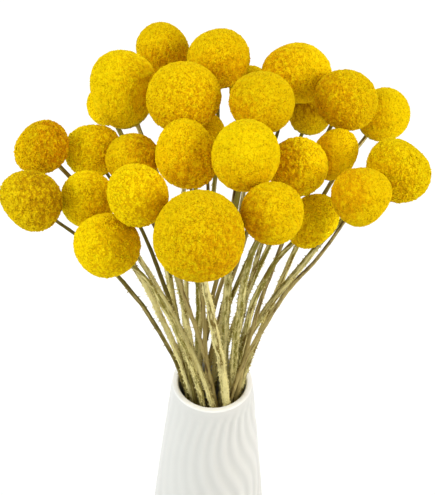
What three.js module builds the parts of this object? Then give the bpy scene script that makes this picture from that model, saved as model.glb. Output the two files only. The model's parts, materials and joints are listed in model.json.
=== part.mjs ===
// A bunch of preserved craspedia stems (round yellow flower heads) in a ribbed white vase.
// Millimetres, +Z up, the front towards -Y. The origin is the centre of the vase's flat foot.

import * as THREE from 'three';
import { ConvexGeometry } from 'three/addons/geometries/ConvexGeometry.js';

// The vase: a slender glazed bottle with wavy upright ribs.
const VASE_HEIGHT = 210;
const RIM_RADIUS = 22.3;
const BELLY_RADIUS = 36.5;
const BELLY_HEIGHT = 48;
const FOOT_RADIUS = 29;
const NECK_EASE = 1.12;
const WALL_THICKNESS = 3.55;
const FLOOR_HEIGHT = 6;
const FLOOR_FILLET = 5;
const FOOT_EDGE = 2;
const LIP_ROUNDING = 1;
const INSIDE_HEIGHTS = [157, 105, 52, FLOOR_HEIGHT + FLOOR_FILLET];
const RIB_COUNT = 24;
const RIB_RELIEF = 0.55;
const RIB_LEVELS = 12;
const RIB_START = 8;
const RIB_END = 205;
const RIB_FADE = 9;
const WAVE_LENGTH = 115;
const WAVE_REACH = 6;
const WAVE_START = -2.7;
const WAVE_CALM = 0.1;
const WAVY_SIDE = THREE.MathUtils.degToRad(-40);

// Between two pieces that touch on the real thing.
const SEAT_GAP = 0.3;

// The stems: woolly stalks, slim under the flower head and stout where they stand in the vase.
const STEM_SIDES = 6;
const STEM_STEPS = 12;
const TIP_RADIUS = 1.2;
const STALK_RADIUS = 1.7;
const SWELL_START = 0.02;
const SWELL_END = 0.24;
const STEM_CLEARANCE = 0.35;
const HEAD_MARGIN = 1.2;
const STRAIGHT_TOP = 40;
const AIM_RISE = 30;
const MOUTH_REACH = 16.2;
const WIDEST_LEAN = THREE.MathUtils.degToRad(30);
const USUAL_TWIST = 45;
const FOOT_TWIST = THREE.MathUtils.degToRad(75);
const FOOT_SPREAD = 1.3;
const SLIM_GIRTH = 0.8;

// How the stems find their room among each other. Only steps at about the same share of their
// stems can meet, and only a stem's upper steps come near the heads.
const NEAR_STEPS = 2;
const UPPER_STEPS = STEM_STEPS / 2;
const SETTLE_ROUNDS = 400;
const FIRM_ROUNDS = 120;
const EVENING = 0.35;

// The flower heads: globes covered with florets, in relief.
const FLORET_AREA = 50;
const FLORET_RISE = 0.4;
const FLORET_GROOVE = 1.3;
const SEAT_RADIUS = 2.3;
const SEAT_SIDES = 6;
const SEAT_HEIGHT_SHARE = 0.98;
const SEAT_TOLERANCE = 1e-4;
const LUMP_SHARE = 0.018;
const LUMP_WAVES = new THREE.Vector3(3, 3, 2);
const LOBE_SHARPNESS = 4;
const LOBE_UP = new THREE.Vector3(0, 1, 1).normalize();
const GOLDEN_ANGLE = Math.PI * (3 - Math.sqrt(5));

const GLAZE_WHITE = 0xf1efe9;
const STALK_OLIVE = 0x9a8d4a;
const STALK_BROWN = 0x6f5c33;
const HEAD_LEMON = 0xe6c112;
const HEAD_YELLOW = 0xdcae0c;
const HEAD_ORANGE = 0xd2960b;
const HEAD_OLIVE = 0xc2a01a;
const GLAZE_ROUGHNESS = 0.22;
const STALK_ROUGHNESS = 0.9;
const HEAD_ROUGHNESS = 0.95;

// Each bloom: the centre of its flower head from the centre of the vase's mouth, and the head's
// width across its stem and height along it. A positive taper is widest at the top. Lobes are
// pairs: degrees round the head from its right side, as it is seen from the front and above, and
// how far it swells there, or is dented where that is below zero. Girth is the stem's share of the
// usual radius. Twist is how far round the mouth its stem has turned, in degrees, where that isn't
// the usual angle.
const BLOOMS = [
  {
    head: [-31, 78, 169.5], wide: 28, tall: 27.5, taper: 0.1, girth: 0.85, tint: HEAD_YELLOW,
    lobes: [[48, -2.3]],
  },
  { head: [-2.5, 60, 180], wide: 33, tall: 31, girth: 0.85, tint: HEAD_YELLOW, lobes: [[112, -2]] },
  { head: [-49, 39.5, 174], wide: 33, tall: 40.5, lobes: [[50, 1.4], [325, -2.2], [265, 0.8]] },
  {
    head: [-18.5, 23.5, 184.5], wide: 34.5, tall: 33.5, girth: 0.95, tint: HEAD_YELLOW,
    lobes: [[235, 1.3]],
  },
  {
    head: [36.5, 55, 176], wide: 35.5, tall: 30, girth: 0.78, tint: HEAD_YELLOW,
    lobes: [[138, -2.3], [60, 0.6]],
  },
  { head: [19, 15.5, 188], wide: 31.5, tall: 29, girth: 0.85, tint: HEAD_YELLOW },
  {
    head: [60.5, 31, 179], wide: 31.5, tall: 28, girth: 0.85, tint: HEAD_YELLOW,
    lobes: [[310, 0.6]],
  },
  { head: [81.5, 45, 159], wide: 26.5, tall: 27.5, twist: -30, girth: 0.9, lobes: [[340, 0.8]] },
  { head: [14.5, 63.5, 158.5], wide: 22, tall: 22, girth: 0.75 },
  { head: [46, 56, 149], wide: 20.5, tall: 23.5, girth: 0.85, tint: HEAD_OLIVE },
  {
    head: [-86, -0.5, 169.5], wide: 24.5, tall: 25.5, twist: 20, tint: HEAD_ORANGE,
    lobes: [[150, -1.3], [225, 1.5], [50, 1.2]],
  },
  {
    head: [-63, 11, 157.5], wide: 26.5, tall: 26.5, girth: 0.75, tint: HEAD_OLIVE,
    lobes: [[90, -1.2], [28, 1.4], [140, 0.6]],
  },
  {
    head: [-42.5, -3.5, 165.5], wide: 25, tall: 24.5, girth: 0.85, tint: HEAD_YELLOW,
    lobes: [[25, 1.2]],
  },
  {
    head: [-16.5, -9, 176.5], wide: 29.5, tall: 34, taper: -0.1, girth: 0.75, tint: HEAD_YELLOW,
    lobes: [[320, 1.8], [100, 0.8]],
  },
  { head: [12, -22.5, 188.5], wide: 33, tall: 34, girth: 1.25, lobes: [[120, -0.7]] },
  { head: [37.5, -12.5, 173], wide: 27, tall: 29.5, girth: 0.85, tint: HEAD_ORANGE },
  { head: [55.5, 6, 165.5], wide: 20, tall: 30, twist: -25, girth: 0.75, tint: HEAD_ORANGE },
  { head: [85.5, -7.5, 169], wide: 31.5, tall: 30.5, girth: 1.1, lobes: [[52, -2.8]] },
  {
    head: [66, -34, 174], wide: 29, tall: 27.5, twist: -15, taper: 0.12, girth: 0.75,
    tint: HEAD_ORANGE, lobes: [[328, -3], [95, -0.9]],
  },
  {
    head: [-87, -35.5, 165], wide: 28.5, tall: 27.5, twist: -10, taper: 0.12, girth: 0.75,
    tint: HEAD_OLIVE, lobes: [[40, 1.2], [143, 2.4], [218, -2.9]],
  },
  {
    head: [-62.5, -23, 157.5], wide: 27, tall: 27.5, twist: 70, tint: HEAD_YELLOW,
    lobes: [[150, -0.7]],
  },
  { head: [-37, -44.5, 181], wide: 27.5, tall: 32.5, girth: 0.75 },
  {
    head: [-51.5, -51, 154.5], wide: 30.5, tall: 30.5, twist: 25, girth: 0.95,
    lobes: [[215, -1.3]],
  },
  {
    head: [-8, -66, 177.5], wide: 40, tall: 46, girth: 1.35, tint: HEAD_YELLOW,
    lobes: [[215, 0.6]],
  },
  { head: [24.5, -50.5, 178], wide: 28.5, tall: 28.5, girth: 1.25, tint: HEAD_YELLOW },
  {
    head: [46, -17, 142], wide: 24, tall: 31, twist: 15, girth: 1.1, tint: HEAD_YELLOW,
    lobes: [[315, -1.2], [240, 1]],
  },
  { head: [-8, 30, 155.5], wide: 21, tall: 21, girth: 0.75, tint: HEAD_YELLOW },
  { head: [-59, 55, 150.5], wide: 21, tall: 21, girth: 1.15 },
  { head: [29, 79, 143], wide: 21, tall: 21, girth: 0.75, tint: HEAD_YELLOW },
];

/** A named piece with a finish of its own. */
function piece(name, geometry, color, roughness) {
  const material = new THREE.MeshStandardMaterial({ color, roughness, metalness: 0 });
  const mesh = new THREE.Mesh(geometry, material);
  mesh.name = name;
  return mesh;
}

/** The vase's outside radius at a height, before its ribs. */
function outsideRadius(height) {
  if (height < BELLY_HEIGHT) {
    const fall = 1 - height / BELLY_HEIGHT;
    return FOOT_RADIUS + (BELLY_RADIUS - FOOT_RADIUS) * Math.sqrt(1 - fall * fall);
  }
  const climb = (height - BELLY_HEIGHT) / (VASE_HEIGHT - BELLY_HEIGHT);
  return BELLY_RADIUS - (BELLY_RADIUS - RIM_RADIUS) * climb ** NECK_EASE;
}

/** The radius of the vase's inside at a height. */
function insideRadius(height) {
  return outsideRadius(height) - WALL_THICKNESS;
}

/** The wall's outline, from the middle of the foot, up and over the rim, to the inner floor. */
function vaseOutline() {
  const outline = [];
  const point = (radius, height) => outline.push(new THREE.Vector2(radius, height));
  point(0, 0);
  point(FOOT_RADIUS, 0);
  point(outsideRadius(FOOT_EDGE), FOOT_EDGE);
  ribHeights().forEach((height) => point(outsideRadius(height), height));
  const lip = VASE_HEIGHT - LIP_ROUNDING;
  point(outsideRadius(lip), lip);
  point(RIM_RADIUS - LIP_ROUNDING, VASE_HEIGHT);
  point(RIM_RADIUS - WALL_THICKNESS + LIP_ROUNDING / 2, VASE_HEIGHT);
  [lip, ...INSIDE_HEIGHTS].forEach((height) => point(insideRadius(height), height));
  point(insideRadius(FLOOR_HEIGHT) - FLOOR_FILLET, FLOOR_HEIGHT);
  point(0, FLOOR_HEIGHT);
  return outline;
}

/** Heights along the ribbed wall, foot to neck. */
function ribHeights() {
  const spacing = (RIB_END - RIB_START) / (RIB_LEVELS - 1);
  return Array.from({ length: RIB_LEVELS }, (_, level) => RIB_START + spacing * level);
}

/** How strongly the ribs stand out at a height: they fade into a plain foot and a plain lip. */
function ribStrength(height) {
  const aboveFoot = THREE.MathUtils.smoothstep(height, RIB_START, RIB_START + RIB_FADE);
  const underLip = THREE.MathUtils.smoothstep(RIB_END - height, 0, RIB_FADE);
  return Math.min(aboveFoot, underLip);
}

/** How far a rib is swept round the vase at a height: widest on one side, calm on the other. */
function ribSway(angle, height) {
  const facing = (1 + Math.cos(angle - WAVY_SIDE)) / 2;
  const reach = WAVE_REACH * THREE.MathUtils.lerp(WAVE_CALM, 1, facing);
  const turns = ((VASE_HEIGHT - height) / WAVE_LENGTH) * 2 * Math.PI;
  return (reach * Math.sin(turns + WAVE_START + angle - WAVY_SIDE)) / outsideRadius(height);
}

/** The vase, turned from its outline. Its columns are the ridges and grooves of the ribs. */
function makeVase() {
  const columns = RIB_COUNT * 2;
  const outline = vaseOutline();
  const lip = outline.findIndex((point) => point.y > RIB_END);
  const geometry = new THREE.LatheGeometry(outline, columns);
  const place = geometry.getAttribute('position');
  for (let index = 0; index < place.count; index += 1) {
    const level = index % outline.length;
    const column = Math.floor(index / outline.length) % columns;
    const { x: radius, y: height } = outline[level];
    const strength = level < lip ? ribStrength(height) : 0;
    const relief = column % 2 === 0 ? RIB_RELIEF : -RIB_RELIEF;
    const angle = (column / columns) * 2 * Math.PI - Math.PI / 2;
    const swept = angle + strength * ribSway(angle, height);
    const reach = radius + strength * relief;
    place.setXYZ(index, reach * Math.cos(swept), reach * Math.sin(swept), height);
  }
  geometry.computeVertexNormals();
  return piece('vase', geometry, GLAZE_WHITE, GLAZE_ROUGHNESS);
}

/** A stem's radius at a share of its length, 0 under the head and 1 at its cut end. */
function stemRadius(bloom, share) {
  const swell = THREE.MathUtils.smoothstep(share, SWELL_START, SWELL_END);
  return (bloom.girth ?? 1) * THREE.MathUtils.lerp(TIP_RADIUS, STALK_RADIUS, swell);
}

/** From the head's centre down to the face that its stem meets. */
function seatDepth(bloom) {
  return (bloom.tall / 2) * SEAT_HEIGHT_SHARE;
}

/** Where a stem passes the mouth: the wider its head leans, the nearer to the rim. */
function mouthPoint(bloom) {
  const [x, y, z] = bloom.head;
  const lean = Math.atan2(Math.hypot(x, y), z);
  const reach = MOUTH_REACH * Math.sqrt(Math.min(1, lean / WIDEST_LEAN));
  const angle = Math.atan2(y, x) + THREE.MathUtils.degToRad(bloom.twist ?? USUAL_TWIST);
  return new THREE.Vector3(reach * Math.cos(angle), reach * Math.sin(angle), VASE_HEIGHT);
}

/** The stem's first course: straight out of its head, twisting through the mouth, to the floor. */
function layStem(bloom) {
  const head = new THREE.Vector3(...bloom.head);
  head.z += VASE_HEIGHT;
  const mouth = mouthPoint(bloom);
  const down = new THREE.Vector3(0, 0, VASE_HEIGHT + AIM_RISE).sub(head).normalize();
  const tip = head.clone().addScaledVector(down, seatDepth(bloom) + SEAT_GAP);
  const neck = tip.clone().addScaledVector(down, STRAIGHT_TOP);
  const foot = mouth.clone().multiplyScalar(FOOT_SPREAD);
  foot.applyAxisAngle(new THREE.Vector3(0, 0, 1), FOOT_TWIST);
  foot.z = FLOOR_HEIGHT + SEAT_GAP;
  const course = new THREE.CatmullRomCurve3([tip, neck, mouth, foot], false, 'centripetal');
  const points = course.getSpacedPoints(STEM_STEPS);
  return { bloom, head, points, first: points.map((point) => point.clone()) };
}

/** Moves the two ends of a stem's step so that its point at a share of the step moves by shift. */
function nudge(stem, step, share, shift) {
  stem.points[step].addScaledVector(shift, 1 - share);
  stem.points[step + 1].addScaledVector(shift, share);
}

/** The straight run between two of a stem's points. */
function stepLine(stem, step) {
  return new THREE.Line3(stem.points[step], stem.points[step + 1]);
}

/** The stem's stoutest radius in a step. */
function stepRadius(stem, step) {
  return stemRadius(stem.bloom, (step + 1) / STEM_STEPS);
}

/** Pushes two stems apart wherever they come closer than their radii and the clearance. */
function pushApart(one, other) {
  const nearOne = new THREE.Vector3();
  const nearOther = new THREE.Vector3();
  for (let step = 0; step < STEM_STEPS; step += 1) {
    const from = Math.max(0, step - NEAR_STEPS);
    const to = Math.min(STEM_STEPS - 1, step + NEAR_STEPS);
    for (let otherStep = from; otherStep <= to; otherStep += 1) {
      const line = stepLine(one, step);
      const otherLine = stepLine(other, otherStep);
      const apart = Math.sqrt(line.distanceSqToLine3(otherLine, nearOne, nearOther));
      const lack = stepRadius(one, step) + stepRadius(other, otherStep) + STEM_CLEARANCE - apart;
      if (lack > 0) {
        const shift = nearOne.clone().sub(nearOther).setLength(lack / 2);
        nudge(one, step, line.closestPointToPointParameter(nearOne, true), shift);
        shift.negate();
        nudge(other, otherStep, otherLine.closestPointToPointParameter(nearOther, true), shift);
      }
    }
  }
}

/** Keeps a stem clear of another bloom's head. */
function passHead(stem, other) {
  const near = new THREE.Vector3();
  const reach = (other.bloom.wide + other.bloom.tall) / 4 + HEAD_MARGIN;
  for (let step = 0; step < UPPER_STEPS; step += 1) {
    const line = stepLine(stem, step);
    line.closestPointToPoint(other.head, true, near);
    const lack = reach + stepRadius(stem, step) - near.distanceTo(other.head);
    if (lack > 0) {
      const shift = near.clone().sub(other.head).setLength(lack);
      nudge(stem, step, line.closestPointToPointParameter(near, true), shift);
    }
  }
}

/** The shift that draws a point in to a radius round the vase's axis: none if it is inside. */
function drawIn(point, radius) {
  const reach = Math.hypot(point.x, point.y);
  const share = Math.min(1, radius / reach);
  return new THREE.Vector3(point.x * (share - 1), point.y * (share - 1), 0);
}

/** Keeps a stem inside the vase's wall and within its mouth. */
function stayInVase(stem) {
  const clear = stemRadius(stem.bloom, 1) + 2 * STEM_CLEARANCE;
  stem.points.forEach((point, index) => {
    if (point.z < VASE_HEIGHT) {
      const fillet = index === STEM_STEPS ? FLOOR_FILLET : 0;
      point.add(drawIn(point, insideRadius(point.z) - clear - fillet));
    }
  });
  const step = stem.points.findIndex((point) => point.z < VASE_HEIGHT) - 1;
  const [above, below] = [stem.points[step], stem.points[step + 1]];
  const share = (above.z - VASE_HEIGHT) / (above.z - below.z);
  const crossing = above.clone().lerp(below, share);
  nudge(stem, step, share, drawIn(crossing, insideRadius(VASE_HEIGHT) - clear));
}

/** Evens a stem's bends out, and puts its two ends back on their seats. */
function straighten(stem, evening) {
  const shifts = stem.points.map((point, index) => point.clone().sub(stem.first[index]));
  for (let index = 1; index < STEM_STEPS; index += 1) {
    const mean = shifts[index - 1].clone().add(shifts[index + 1]).divideScalar(2);
    stem.points[index].copy(stem.first[index]).add(shifts[index].lerp(mean, evening));
  }
  const down = stem.points[1].clone().sub(stem.head).normalize();
  stem.points[0].copy(stem.head).addScaledVector(down, seatDepth(stem.bloom) + SEAT_GAP);
  stem.points[STEM_STEPS].z = FLOOR_HEIGHT + SEAT_GAP;
}

/** Lets the laid stems find their room: clear of each other, of the heads and of the vase. */
function settle(stems) {
  for (let round = 0; round < SETTLE_ROUNDS; round += 1) {
    stems.forEach((stem, index) => {
      stems.slice(index + 1).forEach((other) => pushApart(stem, other));
      stems.filter((other) => other !== stem).forEach((other) => passHead(stem, other));
      stayInVase(stem);
    });
    const evening = round < SETTLE_ROUNDS - FIRM_ROUNDS ? EVENING : 0;
    stems.forEach((stem) => straighten(stem, evening));
  }
}

/** The direction in which a stem climbs at one of its points. Its foot is cut level. */
function climbAt(points, index) {
  if (index === points.length - 1) {
    return new THREE.Vector3(0, 0, 1);
  }
  return points[Math.max(0, index - 1)].clone().sub(points[index + 1]).normalize();
}

/** A settled stem: a slim cylinder whose rings are moved on to the stem's points. */
function makeStem(stem, name) {
  const geometry = new THREE.CylinderGeometry(1, 1, 1, STEM_SIDES, STEM_STEPS);
  const place = geometry.getAttribute('position');
  const rings = [];
  let side = new THREE.Vector3(1, 0, 0);
  stem.points.forEach((centre, index) => {
    const climb = climbAt(stem.points, index);
    side = side.clone().addScaledVector(climb, -side.dot(climb)).normalize();
    const across = side.clone().cross(climb);
    rings.push({ centre, side, across, radius: stemRadius(stem.bloom, index / STEM_STEPS) });
  });
  for (let index = 0; index < place.count; index += 1) {
    const ring = rings[Math.round((0.5 - place.getY(index)) * STEM_STEPS)];
    const point = ring.centre.clone();
    point.addScaledVector(ring.side, place.getX(index) * ring.radius);
    point.addScaledVector(ring.across, place.getZ(index) * ring.radius);
    place.setXYZ(index, point.x, point.y, point.z);
  }
  const color = (stem.bloom.girth ?? 1) < SLIM_GIRTH ? STALK_BROWN : STALK_OLIVE;
  return piece(name, geometry, color, STALK_ROUGHNESS);
}

/** Directions of the florets from the head's centre, in a golden spiral down to the seat. */
function floretDirections(bloom) {
  const seatAngle = Math.asin((2 * SEAT_RADIUS) / (bloom.wide / 2));
  const area = Math.PI * bloom.wide * bloom.tall;
  const count = Math.round(area / FLORET_AREA);
  const span = 1 + Math.cos(seatAngle);
  return Array.from({ length: count }, (_, index) => {
    const height = 1 - (span * (index + 0.5)) / count;
    const reach = Math.sqrt(1 - height * height);
    const angle = index * GOLDEN_ANGLE;
    return new THREE.Vector3(reach * Math.cos(angle), reach * Math.sin(angle), height);
  });
}

/** Directions of the small flat face under the head, which its stem meets. */
function seatDirections(bloom) {
  const slope = Math.asin(SEAT_RADIUS / (bloom.wide / 2));
  const ring = Array.from({ length: SEAT_SIDES }, (_, index) => {
    const angle = (index / SEAT_SIDES) * 2 * Math.PI;
    return new THREE.Vector3().setFromSphericalCoords(1, Math.PI - slope, angle);
  });
  const directions = [new THREE.Vector3(0, -1, 0), ...ring];
  return directions.map((direction) => new THREE.Vector3(direction.x, -direction.z, direction.y));
}

/** The lobes of a head that is turned by the inverse of back: their directions and swells. */
function lobesOf(bloom, back) {
  return (bloom.lobes ?? []).map(([degrees, by]) => {
    const angle = THREE.MathUtils.degToRad(degrees);
    const at = new THREE.Vector3(Math.cos(angle), 0, 0).addScaledVector(LOBE_UP, Math.sin(angle));
    return { at: at.applyQuaternion(back), by };
  });
}

/** A point of the head's own form, its florets aside: an egg, with lumps and lobes of its own. */
function formPoint(bloom, direction, lobes, lumpPhase) {
  const { x, y, z } = direction;
  const egg = 1 + (bloom.taper ?? 0) * z;
  const wave = direction.clone().multiply(LUMP_WAVES);
  const across = Math.sin(wave.x + lumpPhase) + Math.sin(wave.y + 2 * lumpPhase);
  const swell = 1 + LUMP_SHARE * (across + Math.sin(wave.z - lumpPhase));
  const point = new THREE.Vector3(x * bloom.wide * egg, y * bloom.wide * egg, z * bloom.tall);
  point.multiplyScalar(swell / 2);
  lobes.forEach(({ at, by }) => {
    const facing = Math.max(0, direction.dot(at));
    point.addScaledVector(direction, by * facing ** LOBE_SHARPNESS);
  });
  return point;
}

/** A flower head: a net of florets round its form, each facet's middle lowered to a groove. */
function makeHead(stem, name, number) {
  const { bloom, head, points } = stem;
  const axis = head.clone().sub(points[0]).normalize();
  const turn = new THREE.Quaternion().setFromUnitVectors(new THREE.Vector3(0, 0, 1), axis);
  const lobes = lobesOf(bloom, turn.clone().invert());
  const seat = seatDirections(bloom);
  const isSeat = (direction) => seat.some((corner) => corner.distanceTo(direction) < SEAT_TOLERANCE);
  const relief = (direction, rise) => {
    if (isSeat(direction)) {
      const point = direction.clone().multiplyScalar(bloom.wide / 2);
      return point.setZ(-seatDepth(bloom));
    }
    const point = formPoint(bloom, direction, lobes, number);
    return point.addScaledVector(direction, rise);
  };
  const net = new ConvexGeometry([...floretDirections(bloom), ...seat]).getAttribute('position');
  const corners = [];
  for (let index = 0; index < net.count; index += 3) {
    const corner = (offset) => new THREE.Vector3().fromBufferAttribute(net, index + offset);
    const facet = [corner(0), corner(1), corner(2)];
    const raised = facet.map((direction) => relief(direction, FLORET_RISE));
    if (facet.every(isSeat)) {
      corners.push(...raised);
    } else {
      const middle = facet[0].clone().add(facet[1]).add(facet[2]).normalize();
      const groove = relief(middle, -FLORET_GROOVE);
      corners.push(raised[0], raised[1], groove);
      corners.push(raised[1], raised[2], groove);
      corners.push(raised[2], raised[0], groove);
    }
  }
  const geometry = new THREE.BufferGeometry().setFromPoints(corners);
  geometry.computeVertexNormals();
  const mesh = piece(name, geometry, bloom.tint ?? HEAD_LEMON, HEAD_ROUGHNESS);
  mesh.position.copy(head);
  mesh.quaternion.copy(turn);
  return mesh;
}

const stems = BLOOMS.map(layStem);
settle(stems);

const group = new THREE.Group();
group.add(makeVase());
stems.forEach((stem, index) => {
  const number = String(index + 1).padStart(2, '0');
  group.add(makeStem(stem, `stem_${number}`));
  group.add(makeHead(stem, `head_${number}`, index + 1));
});

export default group;
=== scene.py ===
"""The looks of a bunch of preserved craspedia that stands in a tall vase with wavy ribs.

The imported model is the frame. Each flower head, stalk and the vase is replaced here by a finer
piece, grown over the same solid: florets in a spiral over every head, wool and flakes along the
stalks, and a smooth ribbed wall under a white glaze. Blender units are metres, +Z is up, and the
front faces -Y.
"""

import json
import logging
import math
from collections.abc import Callable, Mapping
from dataclasses import dataclass, field
from enum import Enum
from typing import Any

import bmesh
import bpy
import numpy as np
from mathutils import Matrix, Vector

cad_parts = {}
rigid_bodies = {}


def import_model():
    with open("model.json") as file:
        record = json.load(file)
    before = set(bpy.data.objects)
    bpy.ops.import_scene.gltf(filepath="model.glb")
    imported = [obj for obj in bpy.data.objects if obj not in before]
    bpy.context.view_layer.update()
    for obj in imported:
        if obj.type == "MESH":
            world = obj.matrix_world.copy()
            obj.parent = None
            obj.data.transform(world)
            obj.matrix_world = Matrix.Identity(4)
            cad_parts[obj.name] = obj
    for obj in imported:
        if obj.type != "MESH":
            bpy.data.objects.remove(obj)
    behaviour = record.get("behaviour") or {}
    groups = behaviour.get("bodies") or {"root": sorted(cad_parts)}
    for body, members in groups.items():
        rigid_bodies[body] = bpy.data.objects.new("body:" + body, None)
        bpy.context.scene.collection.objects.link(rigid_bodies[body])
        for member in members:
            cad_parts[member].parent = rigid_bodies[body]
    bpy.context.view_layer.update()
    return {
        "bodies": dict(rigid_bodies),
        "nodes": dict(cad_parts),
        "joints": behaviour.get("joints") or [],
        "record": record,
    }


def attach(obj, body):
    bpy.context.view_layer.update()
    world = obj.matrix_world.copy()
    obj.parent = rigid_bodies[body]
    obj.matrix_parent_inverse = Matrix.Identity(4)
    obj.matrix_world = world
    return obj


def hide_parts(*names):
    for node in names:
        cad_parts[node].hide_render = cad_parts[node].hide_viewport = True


LOG = logging.getLogger("craspedia")
MM = 0.001
BODY = "root"
WELD = 0.01 * MM
MOUTH_DEPTH = 12 * MM
GOLDEN_ANGLE = math.pi * (3 - math.sqrt(5))
GOLDEN_SHARE = (math.sqrt(5) - 1) / 2
Colour = tuple[float, float, float]
Direction = tuple[float, float, float]
Outline = list[tuple[float, float]]


def add_object(name: str, data: bpy.types.ID) -> bpy.types.Object:
    """Adds an object with its data to the scene."""
    thing = bpy.data.objects.new(name, data)
    bpy.context.collection.objects.link(thing)
    return thing


def sizes_of(owner: Any, labels: str) -> dict[str, Any]:
    """An object's fields, as values for a tree's inputs of the same names.

    Args:
        owner: The object.
        labels: The inputs' names, with commas between them.

    Returns:
        The value of each input.
    """
    return {label: getattr(owner, label.lower().replace(" ", "_")) for label in labels.split(", ")}


# Nodes: sockets in Python arithmetic, and the trees that they build.


def maths(operation: str, turned: bool = False) -> Callable[..., "Signal"]:
    """Makes a method of a signal that adds one Math node.

    Args:
        operation: The node's operation.
        turned: Whether the signal comes after the other value.

    Returns:
        The method.
    """

    def method(signal: "Signal", *others: Any) -> "Signal":
        """Works out a signal with other values."""
        values = (*others, signal) if turned else (signal, *others)
        return signal.net.node("ShaderNodeMath", dict(enumerate(values)), operation=operation)

    return method


class Signal:
    """An output socket that takes part in Python arithmetic."""

    __add__ = maths("ADD")
    __radd__ = maths("ADD", turned=True)
    __sub__ = maths("SUBTRACT")
    __rsub__ = maths("SUBTRACT", turned=True)
    __mul__ = maths("MULTIPLY")
    __truediv__ = maths("DIVIDE")
    __rtruediv__ = maths("DIVIDE", turned=True)
    __gt__ = maths("GREATER_THAN")
    __abs__ = maths("ABSOLUTE")
    least = maths("MINIMUM")
    sine = maths("SINE")
    cosine = maths("COSINE")
    root = maths("SQRT")
    bearing = maths("ARCTAN2")

    def __init__(self, net: "NodeNet", socket: bpy.types.NodeSocket) -> None:
        """Wraps a socket of a net."""
        self.net = net
        self.socket = socket

    def beside(self, output: str) -> "Signal":
        """Another output of the node that this signal comes from."""
        return Signal(self.net, self.socket.node.outputs[output])

    def between(self, low: float, high: float) -> "Signal":
        """This signal's smooth climb from nought at low to one at high."""
        values = {"Value": self, "From Min": low, "From Max": high}
        return self.net.node("ShaderNodeMapRange", values, interpolation_type="SMOOTHSTEP")


class NodeNet:
    """A node tree that is written as expressions."""

    def __init__(self, tree: bpy.types.NodeTree) -> None:
        """Starts to write in a tree."""
        self.tree = tree

    def node(
        self,
        kind: str,
        values: Mapping[int | str, Any] | None = None,
        output: int | str = 0,
        **settings: Any,
    ) -> Signal:
        """Adds one node.

        Args:
            kind: The node's type.
            values: A value or a signal for each of its sockets, by name or by number.
            output: The socket that it is read from.
            settings: Its own settings, which are set first.

        Returns:
            The signal of that socket.
        """
        made = self.tree.nodes.new(kind)
        for name, value in settings.items():
            setattr(made, name, value)
        for key, value in (values or {}).items():
            self.feed(self._socket(made.inputs, key), value)
        return Signal(self, self._socket(made.outputs, output))

    def feed(self, socket: bpy.types.NodeSocket, value: Any) -> None:
        """Links each signal to a socket, or sets the socket to a plain value.

        Args:
            socket: The socket that is fed.
            value: A signal, a list of signals for a socket that joins them, or a plain value.
        """
        if isinstance(value, list):
            for part in value:
                self.feed(socket, part)
        elif isinstance(value, Signal):
            self.tree.links.new(value.socket, socket)
        else:
            socket.default_value = value

    @staticmethod
    def _socket(sockets: Any, key: int | str) -> bpy.types.NodeSocket:
        """Finds a node's socket by number, or by name among those in use."""
        if isinstance(key, int):
            return sockets[key]
        return next(socket for socket in sockets if socket.name == key and socket.enabled)

    def vector(self, operation: str, *values: Any, output: str = "Vector") -> Signal:
        """Adds the Vector Math node of one operation."""
        parts = dict(enumerate(values))
        return self.node("ShaderNodeVectorMath", parts, output, operation=operation)

    def combine(self, x: Any = 0.0, y: Any = 0.0, z: Any = 0.0) -> Signal:
        """A vector of three parts."""
        return self.node("ShaderNodeCombineXYZ", {"X": x, "Y": y, "Z": z})

    def triple(self, signal: Signal) -> Signal:
        """A vector with the same signal on each axis."""
        return self.combine(signal, signal, signal)

    def noise(
        self, place: Signal, size: float, detail: float = 2.0, output: str = "Fac"
    ) -> Signal:
        """Noise whose lumps are of a size in metres.

        Args:
            place: Where the noise is read.
            size: About how far apart its lumps are.
            detail: How many finer layers it has.
            output: The socket that it is read from.

        Returns:
            The noise, about one half.
        """
        values = {"Vector": place, "Scale": 1 / size, "Detail": detail}
        return self.node("ShaderNodeTexNoise", values, output)


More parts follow.
